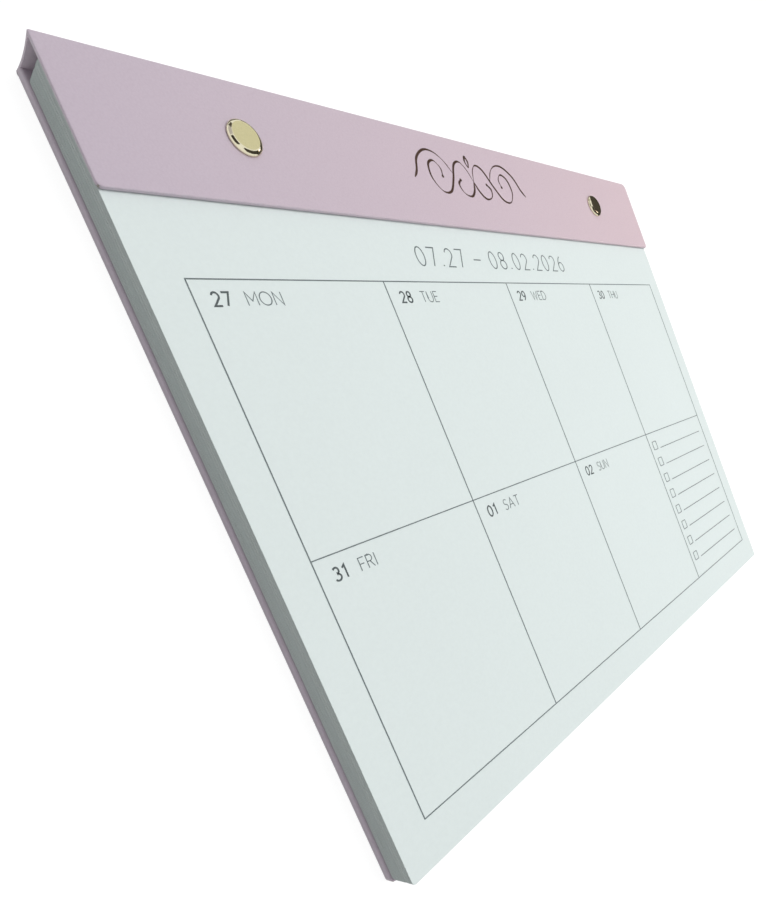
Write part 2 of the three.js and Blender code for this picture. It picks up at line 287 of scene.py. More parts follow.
def wrapped_board(name, low, high, corner, far_corner, foot_edge, edge, support):
    """A plate with round edges, and round corners: one radius in front, one back right, one back left."""
    height = high.z - low.z
    levels = edge_insets(foot_edge, support)
    levels += [(inset, height - rise) for inset, rise in reversed(edge_insets(edge, support))]
    rings = []
    for inset, rise in levels:
        inner_low = Vector((low.x + inset, low.y + inset))
        inner_high = Vector((high.x - inset, high.y - inset))
        near, right = (max(radius - inset, LEAST_CORNER) for radius in (corner, far_corner))
        left = max(SPINE_CORNER - inset, LEAST_SPINE_CORNER)
        outline = rounded_outline(inner_low, inner_high, near, right, left)
        rings.append([(x, y, low.z + rise) for x, y in outline])
    work = bmesh.new()
    loft(work, rings)
    return object_from(name, work)


def lathe(name, profile, segments, place):
    """Turns a profile of radius and height points about Z. The profile starts and ends on the axis."""
    work = bmesh.new()
    rows = []
    for radius, height in profile:
        if radius == 0:
            rows.append([work.verts.new((0, 0, height))])
            continue
        ring = []
        for step in range(segments):
            angle = 2 * math.pi * step / segments
            ring.append(work.verts.new((radius * math.cos(angle), radius * math.sin(angle), height)))
        rows.append(ring)
    for lower, upper in zip(rows, rows[1:]):
        for step in range(segments):
            after = (step + 1) % segments
            corners = [lower[step % len(lower)], lower[after % len(lower)]]
            corners += [upper[after % len(upper)], upper[step % len(upper)]]
            work.faces.new(list(dict.fromkeys(corners)))
    bmesh.ops.translate(work, vec=place, verts=work.verts)
    return object_from(name, work)


# Small tools for node trees

def socket(tree, name, direction, kind, default=None):
    """A named socket on a group's interface."""
    made = tree.interface.new_socket(name=name, in_out=direction, socket_type=kind)
    if default is not None:
        made.default_value = default


def fill(tree, made, inputs):
    """Links a node's inputs to sockets, or sets them to values."""
    for label, value in inputs.items():
        if isinstance(value, bpy.types.NodeSocket):
            tree.links.new(value, made.inputs[label])
        else:
            made.inputs[label].default_value = value


def node(tree, kind, inputs=None, **settings):
    """A node with its settings and inputs, in the editor's next free place."""
    made = tree.nodes.new(kind)
    column, row = divmod(len(tree.nodes), 4)
    made.location = (220 * column, -260 * row)
    for key, value in settings.items():
        setattr(made, key, value)
    fill(tree, made, inputs or {})
    return made


def take(tree, kind, inputs=None, output=0, **settings):
    """A node as above, of which one output is used."""
    return node(tree, kind, inputs, **settings).outputs[output]


def calc(tree, operation, first, second=0, clamp=False):
    """A Math node's result."""
    return take(tree, "ShaderNodeMath", {0: first, 1: second}, operation=operation, use_clamp=clamp)


def mix(tree, blend, factor, first, second):
    """A Mix node's colour, from sockets or plain colours."""
    ends = [end if isinstance(end, bpy.types.NodeSocket) else (*end, 1) for end in (first, second)]
    inputs = {0: factor, 6: ends[0], 7: ends[1]}
    return take(tree, "ShaderNodeMix", inputs, 2, data_type="RGBA", blend_type=blend)


def noise(tree, place, scale, detail, roughness=0.5):
    """A Noise Texture's value at a place."""
    inputs = {"Vector": place, "Scale": scale, "Detail": detail, "Roughness": roughness}
    return take(tree, "ShaderNodeTexNoise", inputs, "Fac")


def spread(tree, value, low, high):
    """Moves a value that lies between 0 and 1 to between low and high."""
    return take(tree, "ShaderNodeMapRange", {"Value": value, "To Min": low, "To Max": high})


def split(tree, vector):
    """A vector's three parts, by their names."""
    return node(tree, "ShaderNodeSeparateXYZ", {0: vector}).outputs


def bump(tree, height, strength, distance):
    """The normal of a surface with this relief."""
    return take(tree, "ShaderNodeBump", {"Strength": strength, "Distance": distance, "Height": height})


def vector(tree, **parts):
    """A vector of these parts."""
    return take(tree, "ShaderNodeCombineXYZ", parts)


def object_place(tree):
    """The place on the piece, in its own coordinates."""
    return take(tree, "ShaderNodeTexCoord", output="Object")


def shader_group(name, inputs, outputs):
    """A shader group with its inputs and their defaults and its outputs, and the sockets of its inputs."""
    tree = bpy.data.node_groups.new(name, "ShaderNodeTree")
    kinds = {"Colour": "NodeSocketColor"}
    for label, default in inputs.items():
        socket(tree, label, "INPUT", kinds.get(label, "NodeSocketFloat"), default)
    for label in outputs:
        socket(tree, label, "OUTPUT", kinds.get(label, "NodeSocketFloat"))
    return tree, node(tree, "NodeGroupInput").outputs


# Shader groups that several finishes share

def tone_drift_group():
    """Slow and fine changes of tone, as any dyed or printed surface has."""
    tree, given = shader_group(
        "Tone Drift",
        {"Colour": (0.5, 0.5, 0.5, 1), "Slow Amount": 0.04, "Fine Amount": 0.04, "Fine Scale": 900},
        ("Colour", "Mottle"))
    place = object_place(tree)
    slow = noise(tree, place, 14, 2)
    fine = noise(tree, place, given["Fine Scale"], 3)
    parts = []
    for value, amount in ((slow, "Slow Amount"), (fine, "Fine Amount")):
        centred = calc(tree, "SUBTRACT", value, 0.5)
        parts.append(calc(tree, "MULTIPLY", centred, given[amount]))
    level = calc(tree, "ADD", calc(tree, "ADD", *parts), 1)
    grey = take(tree, "ShaderNodeCombineColor", {0: level, 1: level, 2: level})
    colour = mix(tree, "MULTIPLY", 1, given["Colour"], grey)
    node(tree, "NodeGroupOutput", {"Colour": colour, "Mottle": fine})
    return tree


def leather_grain_group():
    """Fine pebbled grain: rounded cells with shallow valleys, and soft puckers under them."""
    tree, given = shader_group(
        "Leather Grain", {"Cell Scale": 1800, "Pucker Scale": 220}, ("Height", "Valley"))
    place = object_place(tree)
    wobble = take(tree, "ShaderNodeTexNoise", {"Vector": place, "Scale": 900}, "Color")
    bend = 0.4 * MM
    bent = take(
        tree, "ShaderNodeVectorMath", {0: wobble, 1: (bend, bend, bend), 2: place},
        operation="MULTIPLY_ADD")
    cells = take(
        tree, "ShaderNodeTexVoronoi", {"Vector": bent, "Scale": given["Cell Scale"], "Smoothness": 0.6},
        "Distance", feature="SMOOTH_F1")
    pucker = noise(tree, place, given["Pucker Scale"], 4, 0.6)
    dome = calc(tree, "SUBTRACT", 1, cells)
    height = calc(tree, "ADD", dome, calc(tree, "MULTIPLY", pucker, 0.8))
    node(tree, "NodeGroupOutput", {"Height": height, "Valley": spread(tree, cells, 0, 1)})
    return tree


def paper_tooth_group():
    """The soft tooth of uncoated paper, on a sheet that is slightly cockled."""
    tree, given = shader_group("Paper Tooth", {"Fibre Scale": 1600}, ("Height",))
    place = object_place(tree)
    fibre = noise(tree, place, given["Fibre Scale"], 5, 0.65)
    cockle = calc(tree, "MULTIPLY", noise(tree, place, 26, 1), 6)
    node(tree, "NodeGroupOutput", {"Height": calc(tree, "ADD", fibre, cockle)})
    return tree


def trimmed_edge_group():
    """Marks the sides of a stack of sheets, and fine lines between the sheets, where the paper's colour is
    darkened as painted shade.
    """
    tree, given = shader_group("Trimmed Edge", {"Line Scale": 7400}, ("Edge", "Shade Lines"))
    place = node(tree, "ShaderNodeTexCoord").outputs
    flat = calc(tree, "ABSOLUTE", split(tree, place["Normal"])["Z"])
    edge = calc(tree, "SUBTRACT", 1, flat, clamp=True)
    stretched = take(tree, "ShaderNodeMapping", {"Vector": place["Object"], "Scale": (9, 9, 1)})
    parts = split(tree, stretched)
    height = calc(tree, "MULTIPLY", parts["Z"], given["Line Scale"])
    joined = vector(tree, X=parts["X"], Y=parts["Y"], Z=height)
    node(tree, "NodeGroupOutput", {"Edge": edge, "Shade Lines": noise(tree, joined, 1, 2, 0.7)})
    return tree


def rub_group():
    """Small random marks that break up a polished metal's gloss."""
    tree, given = shader_group("Metal Rub", {"Rub Scale": 2400}, ("Marks", "Haze"))
    place = object_place(tree)
    marks = noise(tree, place, given["Rub Scale"], 4, 0.7)
    node(tree, "NodeGroupOutput", {"Marks": marks, "Haze": noise(tree, place, 500, 2)})
    return tree


SHADER_GROUPS = {}


def build_shader_groups():
    """Makes every shared group once."""
    for maker in (tone_drift_group, leather_grain_group, paper_tooth_group, trimmed_edge_group, rub_group):
        tree = maker()
        SHADER_GROUPS[tree.name] = tree


def place_group(tree, name, **values):
    """Places a shared group in a material, with its own values, and gives its outputs."""
    inputs = {label.replace("_", " "): value for label, value in values.items()}
    return node(tree, "ShaderNodeGroup", inputs, node_tree=SHADER_GROUPS[name]).outputs


def new_material(name, roughness, metallic=0):
    """A material with a plain Principled shader, its tree and that shader."""
    made = bpy.data.materials.new(name)
    made.use_nodes = True
    tree = made.node_tree
    shader = tree.nodes["Principled BSDF"]
    fill(tree, shader, {"Roughness": roughness, "Metallic": metallic})
    return made, tree, shader


def toned_material(name, colour, roughness, slow, fine, scale, metallic=0):
    """A material as above whose colour drifts a little, and the outputs of that drift."""
    made, tree, shader = new_material(name, roughness, metallic)
    tone = place_group(
        tree, "Tone Drift", Colour=(*colour, 1), Slow_Amount=slow, Fine_Amount=fine, Fine_Scale=scale)
    fill(tree, shader, {"Base Color": tone["Colour"]})
    return made, tree, shader, tone


# Finishes

def leatherette(colour, painted_light_end_colour, grain_size):
    """Lilac leatherette: fine pebbled grain with a satin coat. It turns lighter and pinker towards the
    case's right end: painted light, as if more and warmer light fell there.
    """
    made, tree, shader = new_material("Leatherette", 0.5)
    # Painted light: the colour blends from the left end's tint to a lighter, pinker one at the right end.
    along = take(tree, "ShaderNodeMapRange", {
        "Value": split(tree, object_place(tree))["X"], "From Min": CASE_LOW.x, "From Max": CASE_HIGH.x})
    dye_with_painted_light = mix(tree, "MIX", along, colour, painted_light_end_colour)
    tone = place_group(
        tree, "Tone Drift", Colour=dye_with_painted_light, Slow_Amount=0.04, Fine_Amount=0.05, Fine_Scale=1300)
    grain = place_group(tree, "Leather Grain", Cell_Scale=1 / grain_size, Pucker_Scale=260)
    # Painted shade: the colour is darkened in the grain's valleys, where shade falls.
    depth = spread(tree, grain["Valley"], 0, 0.22)
    fill(tree, shader, {
        "Base Color": mix(tree, "MULTIPLY", depth, tone["Colour"], (0.72, 0.64, 0.7)),
        "Roughness": spread(tree, grain["Valley"], 0.42, 0.62),
        "Normal": bump(tree, grain["Height"], 0.22, 0.05 * MM),
        "Coat Weight": 0.25,
        "Coat Roughness": 0.35,
    })
    return made


def sheet_paper(face_colour, painted_shade_edge_colour):
    """Uncoated paper. Its trimmed edges are painted greyer and darker, with darker fine lines: painted
    shade on the block's sides and between its sheets.
    """
    made, tree, shader, tone = toned_material("Sheet Paper", face_colour, 0.78, 0.03, 0.06, 900)
    tooth = place_group(tree, "Paper Tooth", Fibre_Scale=1700)
    trimmed = place_group(tree, "Trimmed Edge")
    # Painted shade: the sides are darker and greyer than the face, with darker lines between the sheets.
    depth = spread(tree, trimmed["Shade Lines"], 0, 0.5)
    lined = mix(tree, "MULTIPLY", depth, painted_shade_edge_colour, (0.55, 0.57, 0.56))
    fill(tree, shader, {
        "Base Color": mix(tree, "MIX", trimmed["Edge"], tone["Colour"], lined),
        "Normal": bump(tree, tooth["Height"], 0.16, 0.03 * MM),
        "Specular IOR Level": 0.3,
    })
    return made


def plain_paper(name, colour):
    """Lining paper or greyboard: a soft fibrous stock."""
    made, tree, shader, tone = toned_material(name, colour, 0.85, 0.06, 0.12, 1500)
    tooth = place_group(tree, "Paper Tooth", Fibre_Scale=1200)
    fill(tree, shader, {"Normal": bump(tree, tooth["Height"], 0.25, 0.04 * MM)})
    return made


def printed_ink(name, colour):
    """Thin ink that lets a little of the paper's tooth through."""
    made, tree, shader, tone = toned_material(name, colour, 0.6, 0.1, 0.35, 3000)
    fill(tree, shader, {"Roughness": spread(tree, tone["Mottle"], 0.5, 0.75)})
    return made


def stamped_foil(colour):
    """Dark bronze foil, pressed into the grain so that it glints unevenly."""
    made, tree, shader, tone = toned_material("Stamped Foil", colour, 0.3, 0.25, 0.3, 1800, 0.85)
    grain = place_group(tree, "Leather Grain", Cell_Scale=1900, Pucker_Scale=260)
    fill(tree, shader, {
        "Roughness": spread(tree, tone["Mottle"], 0.22, 0.5),
        "Normal": bump(tree, grain["Height"], 0.2, 0.04 * MM),
    })
    return made


def post_brass(colour):
    """Polished pale brass plating with faint rub marks."""
    made, tree, shader, tone = toned_material("Post Brass", colour, 0.1, 0.05, 0.08, 1200, 1)
    rub = place_group(tree, "Metal Rub")
    fill(tree, shader, {
        "Roughness": spread(tree, rub["Haze"], 0.05, 0.14),
        "Normal": bump(tree, rub["Marks"], 0.05, 0.02 * MM),
    })
    return made


# The case

SPINE_STEPS = 28
SPINE_FOOT = 0.4 * MM
SPINE_INSET = 0.12 * MM
SPINE_HEM = 0.2 * MM
SPINE_FAR_SHARE = 0.7
# Painted light: a paler colour on the spine's inner face, which stands in for light coming in at its open
# end.
SPINE_INSIDE_LIGHT_COLOUR = (0.85, 0.73, 0.82)
GREYBOARD_COLOUR = (0.33, 0.3, 0.27)
LINING_COLOUR = (0.78, 0.76, 0.72)

# Sizes that only the scene adds, around what the frame gives
SKIN_RIM = 0.4 * MM
BOARD_CORNER = 0.6 * MM
BOARD_EDGE = 0.05 * MM
BOARD_RIM = 0.1 * MM
BOARD_GAP = 0.05 * MM
COUNTERBORE_GAP = 0.3 * MM
COUNTERBORE_DEPTH = 1 * MM
COUNTERBORE_STEPS = 96


def spine_object(case):
    """The skin down the back, over both boards' edges: it leans forward and bends in on its way up."""
    foot = Vector((CASE_HIGH.y, CASE_LOW.z + SPINE_FOOT))
    head = Vector((CASE_HIGH.y - case.spine_lean, BAND_TOP - 0.5 * case.edge_radius))
    outer = []
    for step in range(SPINE_STEPS + 1):
        along = step / SPINE_STEPS
        bend = case.spine_sag * 4 * along * (1 - along)
        place = foot.lerp(head, along)
        outer.append((place.x - bend, place.y))
    inner = [(y - case.spine_wall, z) for y, z in reversed(outer)]
    heel = (foot.x - 0.3 * MM, CASE_LOW.z + 0.06 * MM)
    section = outer + inner + [(heel[0] - case.spine_wall, heel[1]), heel]
    left = CASE_LOW.x + SPINE_INSET
    right = CASE_HIGH.x - SPINE_FAR_SHARE * case.far_radius
    work = bmesh.new()
    stations = (left, left + SPINE_HEM, right - SPINE_HEM, right)
    loft(work, [[(x, y, z) for y, z in section] for x in stations])
    return object_from("spine", work)


def case_skin(case):
    """The leatherette, wrapped round both boards and down the spine in one piece."""
    corners = (case.corner_radius, case.far_radius)
    edge = case.edge_radius
    back_high = Vector((CASE_HIGH.x, CASE_HIGH.y - case.back_setback, BACK_TOP))
    skin = wrapped_board("cover_skin", CASE_LOW, back_high, *corners, edge, edge, SKIN_RIM)
    band_low = Vector((CASE_LOW.x, BAND_FOOT, BAND_BASE))
    band_high = Vector((CASE_HIGH.x, CASE_HIGH.y - case.spine_lean, BAND_TOP))
    band = wrapped_board("headband", band_low, band_high, *corners, edge, 0.5 * edge, SKIN_RIM)
    combine(skin, band, "UNION")
    combine(skin, spine_object(case), "UNION")
    for side in SIDES:
        low, high = SCREW_BOXES[side]
        centre = (low + high) / 2
        radius = (high.x - low.x) / 2 + COUNTERBORE_GAP
        depth = COUNTERBORE_DEPTH
        profile = [(0, -depth), (radius, -depth), (radius, depth), (0, depth)]
        place = Vector((centre.x, centre.y, CASE_LOW.z))
        cutter = lathe("counterbore", profile, COUNTERBORE_STEPS, place)
        combine(skin, cutter, "DIFFERENCE")
    smooth_by_angle(skin, 32)
    return skin


def paint_light_in_spine(skin, lining):
    """Gives the spine's inner face a paler colour: painted light, where light comes in at the spine's open
    end.
    """
    skin.data.materials.append(lining)
    for face in skin.data.polygons:
        inside = BACK_TOP < face.center.z < BAND_BASE and face.center.y > BLOCK_HIGH.y
        if inside and face.normal.y < -0.5:
            face.material_index = 1


class PAD_OT_case(bpy.types.Operator):
    """Builds the wrapped case and finishes the boards and linings inside it"""
    bl_idname = "pad.case"
    bl_label = "Case"

    def execute(self, context):
        case = context.scene.pad_case
        skin = case_skin(case)
        outside = leatherette(case.skin_colour, case.painted_light_end_colour, case.grain_size)
        finish_piece(skin, outside, "leatherette", "cover_wrap")
        # The spine's inner face gets a paler colour as painted light.
        paint_light_in_spine(skin, plain_paper("Spine Inside Painted Light", SPINE_INSIDE_LIGHT_COLOUR))
        board = plain_paper("Greyboard", GREYBOARD_COLOUR)
        paper = plain_paper("Lining Paper", LINING_COLOUR)
        for name, low, high, setback in (
                ("back_board", BACK_BOARD_LOW, BACK_BOARD_HIGH, case.back_setback),
                ("headband_board", BAND_BOARD_LOW, BAND_BOARD_HIGH, case.spine_lean)):
            corner = high - Vector((0, setback + BOARD_GAP, 0))
            rounds = (BOARD_CORNER, case.far_radius, BOARD_EDGE, BOARD_EDGE)
            inner = wrapped_board(f"inner_{name}", low, corner, *rounds, BOARD_RIM)
            finish_piece(inner, board, "greyboard", name)
        for name in ("back_lining", "headband_lining"):
            set_material(NODES[name], paper)
        return {"FINISHED"}


# The sheets

# Share of each sheet's pitch in the block that is paper, the rest being air
PAPER_SHARE = 0.94


def sheet_stack_tree():
    """Geometry nodes: one thin sheet, laid again and again a little out of line."""
    tree = bpy.data.node_groups.new("Sheet Stack", "GeometryNodeTree")
    for name, kind, default in (
            ("Geometry", "Geometry", None), ("Width", "Float", 0.28), ("Height", "Float", 0.21),
            ("Stack Thickness", "Float", 0.0086), ("Corner Radius", "Float", 0.001), ("Count", "Int", 64),
            ("Stray", "Float", 0.0001), ("Setback", "Float", 0.0018), ("Seed", "Int", 7),
            ("Material", "Material", None)):
        socket(tree, name, "INPUT", f"NodeSocket{kind}", default)
    socket(tree, "Geometry", "OUTPUT", "NodeSocketGeometry")
    given = node(tree, "NodeGroupInput").outputs

    rectangle = take(tree, "GeometryNodeCurvePrimitiveQuadrilateral", {
        "Width": given["Width"], "Height": given["Height"]})
    rounded = take(
        tree, "GeometryNodeFilletCurve",
        {"Curve": rectangle, "Radius": given["Corner Radius"], "Count": 5}, mode="POLY")
    face = take(tree, "GeometryNodeFillCurve", {"Curve": rounded}, mode="NGONS")
    pitch = calc(tree, "DIVIDE", given["Stack Thickness"], given["Count"])
    rise = take(tree, "GeometryNodeExtrudeMesh", {
        "Mesh": face, "Offset": vector(tree, Z=1),
        "Offset Scale": calc(tree, "MULTIPLY", pitch, PAPER_SHARE), "Individual": False}, "Mesh")
    underside = take(tree, "GeometryNodeFlipFaces", {"Mesh": face})
    closed = node(tree, "GeometryNodeJoinGeometry", {0: rise})
    fill(tree, closed, {0: underside})
    sheet = take(tree, "GeometryNodeMergeByDistance", {"Geometry": closed.outputs[0], "Distance": 1e-7})

    step = vector(tree, Z=pitch)
    spots = take(tree, "GeometryNodeMeshLine", {"Count": given["Count"], "Offset": step})
    chance = take(
        tree, "FunctionNodeRandomValue", {0: (-1, -1, 0), 1: (1, 1, 0), "Seed": given["Seed"]},
        data_type="FLOAT_VECTOR")
    stray = take(tree, "ShaderNodeVectorMath", {0: chance, "Scale": given["Stray"]}, operation="SCALE")
    risen = calc(tree, "DIVIDE", take(tree, "GeometryNodeInputIndex"), given["Count"])
    short = calc(tree, "MULTIPLY", risen, given["Setback"])
    forward = vector(tree, Y=calc(tree, "MULTIPLY", short, -0.5))
    shift = take(tree, "ShaderNodeVectorMath", {0: stray, 1: forward}, operation="ADD")
    moved = take(tree, "GeometryNodeSetPosition", {"Geometry": spots, "Offset": shift})
    share = calc(tree, "DIVIDE", short, given["Height"])
    shrink = vector(tree, X=1, Y=calc(tree, "SUBTRACT", 1, share), Z=1)

    laid = take(tree, "GeometryNodeInstanceOnPoints", {"Points": moved, "Instance": sheet, "Scale": shrink})
    real = take(tree, "GeometryNodeRealizeInstances", {0: laid})
    coloured = take(tree, "GeometryNodeSetMaterial", {"Geometry": real, "Material": given["Material"]})
    node(tree, "NodeGroupOutput", {0: coloured})
    return tree


def run_tree(name, tree, values):
    """An object made by a geometry node tree with these input values, as a plain mesh."""
    piece = new_object(name, bpy.data.meshes.new(name))
    modifier = piece.modifiers.new(tree.name, "NODES")
    modifier.node_group = tree
    for item in tree.interface.items_tree:
        if item.item_type == "SOCKET" and item.in_out == "INPUT" and item.name in values:
            modifier[item.identifier] = values[item.name]
    return settle(piece)


class PAD_OT_sheets(bpy.types.Operator):
    """Lays the block of sheets, each a thin sheet of its own"""
    bl_idname = "pad.sheets"
    bl_label = "Sheets"

    def execute(self, context):
        sheets = context.scene.pad_sheets
        paper = sheet_paper(sheets.face_colour, sheets.painted_shade_edge_colour)
        size = BLOCK_HIGH - BLOCK_LOW
        pitch = size.z / sheets.sheet_count
        stack = run_tree("sheet_stack", sheet_stack_tree(), {
            "Width": size.x - 2 * sheets.stray,
            "Height": size.y - 2 * sheets.stray,
            "Stack Thickness": size.z,
            "Corner Radius": sheets.corner_radius,
            "Count": sheets.sheet_count,
            "Stray": sheets.stray,
            "Setback": sheets.setback,
            "Seed": 11,
            "Material": paper,
        })
        centre = (BLOCK_LOW + BLOCK_HIGH) / 2
        gap = pitch * (1 - PAPER_SHARE)
        stack.data.transform(Matrix.Translation((centre.x, centre.y, BLOCK_LOW.z + gap)))
        finish_piece(stack, None, "sheet_paper", "page_block")
        return {"FINISHED"}


# Lettering: thin strokes on a skeleton for each sign, one unit high

def arc(x, y, across, up, start, end, steps=18):
    """Points along part of an ellipse, from one angle to another in degrees."""
    points = []
    for step in range(steps + 1):
        angle = math.radians(start + (end - start) * step / steps)
        points.append((x + across * math.cos(angle), y + up * math.sin(angle)))
    return points


# Each sign's width and strokes
SIGNS = {
    "0": (0.6, [arc(0.3, 0.5, 0.3, 0.5, 0, 360, 36)]),
    "1": (0.34, [[(0.04, 0.8), (0.28, 1), (0.28, 0)]]),
    "2": (0.56, [[*arc(0.28, 0.72, 0.27, 0.28, 165, -38), (0, 0), (0.57, 0)]]),
    "3": (0.56, [[*arc(0.26, 0.76, 0.24, 0.24, 150, -90), *arc(0.26, 0.26, 0.29, 0.26, 90, -150)]]),
    "6": (0.58, [
        arc(0.3, 0.3, 0.27, 0.3, 0, 360, 30),
        [(0.03, 0.32), (0.05, 0.5), (0.12, 0.7), (0.24, 0.87), (0.4, 1)]]),
    "7": (0.55, [[(0, 1), (0.56, 1), (0.18, 0)]]),
    "8": (0.58, [arc(0.29, 0.76, 0.23, 0.24, 0, 360, 30), arc(0.29, 0.265, 0.28, 0.265, 0, 360, 30)]),
    "9": (0.58, [
        arc(0.28, 0.7, 0.27, 0.3, 0, 360, 30),
        [(0.55, 0.68), (0.53, 0.5), (0.46, 0.3), (0.34, 0.13), (0.18, 0)]]),
    ".": (0.1, [[(0, 0.05), (0.1, 0.05)]]),
    "–": (0.62, [[(0, 0.46), (0.62, 0.46)]]),
    " ": (0.16, []),
    "A": (0.78, [[(0, 0), (0.39, 1), (0.78, 0)], [(0.13, 0.34), (0.65, 0.34)]]),
    "D": (0.74, [[(0, 0), (0, 1), (0.26, 1), *arc(0.26, 0.5, 0.48, 0.5, 90, -90), (0, 0)]]),
    "E": (0.52, [[(0.52, 1), (0, 1), (0, 0), (0.52, 0)], [(0, 0.53), (0.46, 0.53)]]),
    "F": (0.5, [[(0.52, 1), (0, 1), (0, 0)], [(0, 0.51), (0.45, 0.51)]]),
    "H": (0.7, [[(0, 0), (0, 1)], [(0.7, 0), (0.7, 1)], [(0, 0.52), (0.7, 0.52)]]),
    "I": (0.04, [[(0.02, 0), (0.02, 1)]]),
    "M": (0.86, [[(0, 0), (0, 1), (0.43, 0.32), (0.86, 1), (0.86, 0)]]),
    "N": (0.7, [[(0, 0), (0, 1), (0.7, 0), (0.7, 1)]]),
    "O": (0.98, [arc(0.49, 0.5, 0.49, 0.5, 0, 360, 40)]),
    "R": (0.58, [
        [(0, 0), (0, 1), (0.28, 1), *arc(0.28, 0.75, 0.26, 0.25, 90, -90), (0, 0.5)],
        [(0.28, 0.5), (0.58, 0)]]),
    "S": (0.52, [[*arc(0.27, 0.755, 0.24, 0.245, 35, 270), *arc(0.26, 0.255, 0.27, 0.255, 90, -145)]]),
    "T": (0.64, [[(0, 1), (0.64, 1)], [(0.32, 1), (0.32, 0)]]),
    "U": (0.66, [[(0, 1), (0, 0.33), *arc(0.33, 0.33, 0.33, 0.33, 180, 360), (0.66, 1)]]),
    "W": (1.06, [[(0, 1), (0.28, 0), (0.53, 0.92), (0.78, 0), (1.06, 1)]]),
}


def ribbon(work, points, widths, level):
    """A flat ribbon along points, as wide at each as its width says, with mitred turns."""
    closed = (Vector(points[0]) - Vector(points[-1])).length < 1e-9
    path = [Vector(point) for point in (points[:-1] if closed else points)]
    count = len(path)
    rows = []
    for index, point in enumerate(path):
        before = path[index - 1] if closed or index > 0 else None
        after = path[(index + 1) % count] if closed or index < count - 1 else None
        into = (point - before).normalized() if before is not None else (after - point).normalized()
        onward = (after - point).normalized() if after is not None else into
        side_in = Vector((-into.y, into.x))
        side_on = Vector((-onward.y, onward.x))
        side = (side_in + side_on).normalized()
        stretch = 1 / max(side.dot(side_on), 0.45)
        reach = side * (widths[index] / 2 * stretch)
        rows.append([work.verts.new((*(point + reach), level)), work.verts.new((*(point - reach), level))])
    pairs = list(zip(rows, rows[1:]))
    if closed:
        pairs.append((rows[-1], rows[0]))
    for (left, right), (next_left, next_right) in pairs:
        work.faces.new((left, right, next_right, next_left))


def lettering(work, text, left, baseline, height, stroke, gap, level):
    """Draws a line of text with its left end and baseline at a place, and returns where it ends."""
    x = left
    for sign in text:
        width, strokes = SIGNS[sign]
        for points in strokes:
            placed = [(x + px * height, baseline + py * height) for px, py in points]
            ribbon(work, placed, [stroke] * len(placed), level)
        x += (width + gap) * height
    return x - gap * height


def text_width(text, height, gap):
    """How wide a line of text comes out."""
    return height * (sum(SIGNS[sign][0] + gap for sign in text) - gap)


def thin_layer(name, work, thickness):
    """A layer of flat ribbons with a real, very small thickness."""
    piece = object_as_is(name, work)
    solidify = piece.modifiers.new("Thickness", "SOLIDIFY")
    solidify.thickness = thickness
    solidify.offset = 0
    return settle(piece)


# Where the print stands on the sheet, its strokes, and the gaps between signs as shares of their height
DAY_INDENT = 5 * MM
DAY_DROP = 3.5 * MM
NAME_INDENT = 4.6 * MM
HEADER_MIDDLE = (GRID_LOW.x + GRID_HIGH.x) / 2 + 1.5 * MM
HEADER_BASE = GRID_HIGH.y + 5.5 * MM
NUMBER_STROKE = 0.52 * MM
NAME_STROKE = 0.27 * MM
HEADER_STROKE = 0.42 * MM
NUMBER_GAP = 0.27
NAME_GAP = 0.24
HEADER_GAP = 0.36
INK_LEVEL = 0.03 * MM
INK_THICKNESS = 0.04 * MM
DARK_INK_SHARE = 0.62


class PAD_OT_print(bpy.types.Operator):
    """Finishes the printed lines and letters the header and the days"""
    bl_idname = "pad.print"
    bl_label = "Print"

    def execute(self, context):
        given = context.scene.pad_print
        ink = printed_ink("Grey Ink", given.ink_colour)
        for name in PRINT_NODES:
            set_material(NODES[name], ink)
        level = PAGE_LEVEL + INK_LEVEL
        numbers = bmesh.new()
        names = bmesh.new()
        for index, (date, day) in enumerate(zip(DATES, DAYS)):
            column = index % COLUMNS
            row = index // COLUMNS
            left = GRID_LOW.x + column * COLUMN_WIDTH + DAY_INDENT
            top = GRID_HIGH.y - row * ROW_HEIGHT - DAY_DROP
            baseline = top - given.number_height
            end = lettering(
                numbers, date, left, baseline, given.number_height, NUMBER_STROKE, NUMBER_GAP, level)
            lettering(
                names, day, end + NAME_INDENT, baseline, given.name_height, NAME_STROKE, NAME_GAP, level)
        header = bmesh.new()
        height = given.header_height
        left = HEADER_MIDDLE - text_width(HEADER, height, HEADER_GAP) / 2
        lettering(header, HEADER, left, HEADER_BASE, height, HEADER_STROKE, HEADER_GAP, level)
        dark = printed_ink("Dark Ink", [DARK_INK_SHARE * part for part in given.ink_colour])
        for name, work, material in (
                ("day_numbers", numbers, dark), ("day_names", names, ink), ("week_header", header, ink)):
            finish_piece(thin_layer(name, work, INK_THICKNESS), material, "grey_ink")
        return {"FINISHED"}


# The stamped ornament

def smooth_path(points, steps):
    """A Catmull-Rom curve through points."""
    ends = [points[0], *points, points[-1]]
    path = []
    for index in range(1, len(ends) - 2):
        p0, p1, p2, p3 = (Vector(ends[index + shift]) for shift in (-1, 0, 1, 2))
        for step in range(steps):
            t = step / steps
            path.append(0.5 * (2 * p1 + (p2 - p0) * t + (2 * p0 - 5 * p1 + 4 * p2 - p3) * t ** 2
                               + (3 * p1 - p0 - 3 * p2 + p3) * t ** 3))
    path.append(Vector(points[-1]))
    return path


def dot(work, centre, radius, level):
    """A flat round dot."""
    ring = arc(centre.x, centre.y, radius, radius, 0, 345, 23)
    work.faces.new([work.verts.new((*point, level)) for point in ring])


def nib_widths(path, broad, nib_angle):
    """Stroke widths as a broad nib leaves them, tapering at both ends."""
    widths = []
    count = len(path)
    for index in range(count):
        ahead = path[min(index + 1, count - 1)] - path[max(index - 1, 0)]
        turn = math.atan2(ahead.y, ahead.x) - math.radians(nib_angle)
        along = index / (count - 1)
        taper = min(1, 7 * along + 0.25, 7 * (1 - along) + 0.25)
        widths.append(broad * (0.3 + 0.7 * abs(math.sin(turn))) * taper)
    return widths


